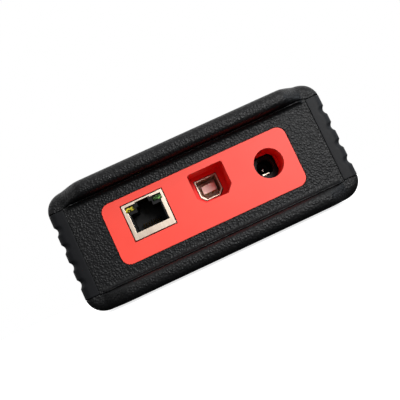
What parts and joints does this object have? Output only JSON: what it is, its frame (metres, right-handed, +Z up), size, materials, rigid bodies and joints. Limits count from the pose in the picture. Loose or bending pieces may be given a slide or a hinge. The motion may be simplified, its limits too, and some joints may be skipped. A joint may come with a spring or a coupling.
{
  "type": "logic analyzer",
  "caption": "Bench logic analyzer: rounded black case with side grips, network, USB and power sockets in a red bezel, and a latched probe header at the far end.",
  "frame": {"origin": "on the surface that the feet stand on, under the middle of the case", "axes": "+Z up, -Y out of the end with the network, USB and power sockets, +X to the right as that end is faced"},
  "size_m": [0.1112, 0.146, 0.0481],
  "materials": {
    "black_textured_shell": "spark-textured moulded ABS",
    "grey_elastomer_grip": "smooth matt overmoulded elastomer",
    "red_bezel": "fine matt moulded ABS",
    "black_nylon": "satin moulded nylon",
    "black_rubber": "matt rubber",
    "bright_steel": "polished steel",
    "zinc_steel": "dull zinc plating",
    "tin_plated_sheet": "bright tin plating",
    "gold_contact": "thin gold plating",
    "turned_brass": "turned brass",
    "black_aluminium": "black anodised extrusion",
    "bare_aluminium": "drawn aluminium can",
    "green_laminate": "solder mask on glass-fibre laminate",
    "chip_epoxy": "moulded epoxy",
    "cream_nylon": "satin moulded nylon",
    "yellow_lens": "tinted clear resin",
    "green_lens": "tinted clear resin",
    "clear_lens": "frosted clear acrylic",
    "dark_ferrite": "pressed ferrite"
  },
  "bodies": {
    "case": {"top_shell": "black_textured_shell", "bottom_shell": "black_textured_shell", "connector_end_panel": "black_textured_shell", "probe_end_panel": "black_textured_shell", "left_grip": "grey_elastomer_grip", "right_grip": "grey_elastomer_grip", "connector_bezel": "red_bezel", "probe_bezel": "red_bezel", "case_screw_1": "zinc_steel", "case_screw_2": "zinc_steel", "case_screw_3": "zinc_steel", "case_screw_4": "zinc_steel", "board_screw_1": "zinc_steel", "board_screw_2": "zinc_steel", "board_screw_3": "zinc_steel", "board_screw_4": "zinc_steel", "foot_1": "black_rubber", "foot_2": "black_rubber", "foot_3": "black_rubber", "foot_4": "black_rubber", "rj45_shield": "tin_plated_sheet", "usb_shell": "tin_plated_sheet", "dc_spring_contact": "tin_plated_sheet", "rj45_housing": "black_nylon", "dc_jack_body": "black_nylon", "probe_header_shroud": "black_nylon", "stacking_header": "black_nylon", "stacking_socket": "black_nylon", "rj45_contact_1": "gold_contact", "rj45_contact_2": "gold_contact", "rj45_contact_3": "gold_contact", "rj45_contact_4": "gold_contact", "rj45_contact_5": "gold_contact", "rj45_contact_6": "gold_contact", "rj45_contact_7": "gold_contact", "rj45_contact_8": "gold_contact", "rj45_yellow_light": "yellow_lens", "rj45_green_light": "green_lens", "status_light_pipe": "clear_lens", "usb_insulator": "cream_nylon", "dc_center_pin": "bright_steel", "clock_oscillator": "bright_steel", "main_board": "green_laminate", "power_board": "green_laminate", "board_standoff_1": "turned_brass", "board_standoff_2": "turned_brass", "board_standoff_3": "turned_brass", "board_standoff_4": "turned_brass", "fpga": "chip_epoxy", "memory_chip_1": "chip_epoxy", "memory_chip_2": "chip_epoxy", "ethernet_chip": "chip_epoxy", "usb_controller": "chip_epoxy", "power_regulator": "chip_epoxy", "fpga_heatsink": "black_aluminium", "input_capacitor": "bare_aluminium", "power_inductor": "dark_ferrite"},
    "left_latch": {"left_ejector_latch": "black_nylon"},
    "right_latch": {"right_ejector_latch": "black_nylon"}
  },
  "joints": [
    {"name": "left_latch_hinge", "type": "hinge", "parent": "case", "child": "left_latch", "pos_m": [-0.01863, 0.0601, 0.02876], "axis": [0, 0, 1], "range_deg": [0, 35]},
    {"name": "right_latch_hinge", "type": "hinge", "parent": "case", "child": "right_latch", "pos_m": [0.01863, 0.0601, 0.02876], "axis": [0, 0, -1], "range_deg": [0, 35]}
  ]
}
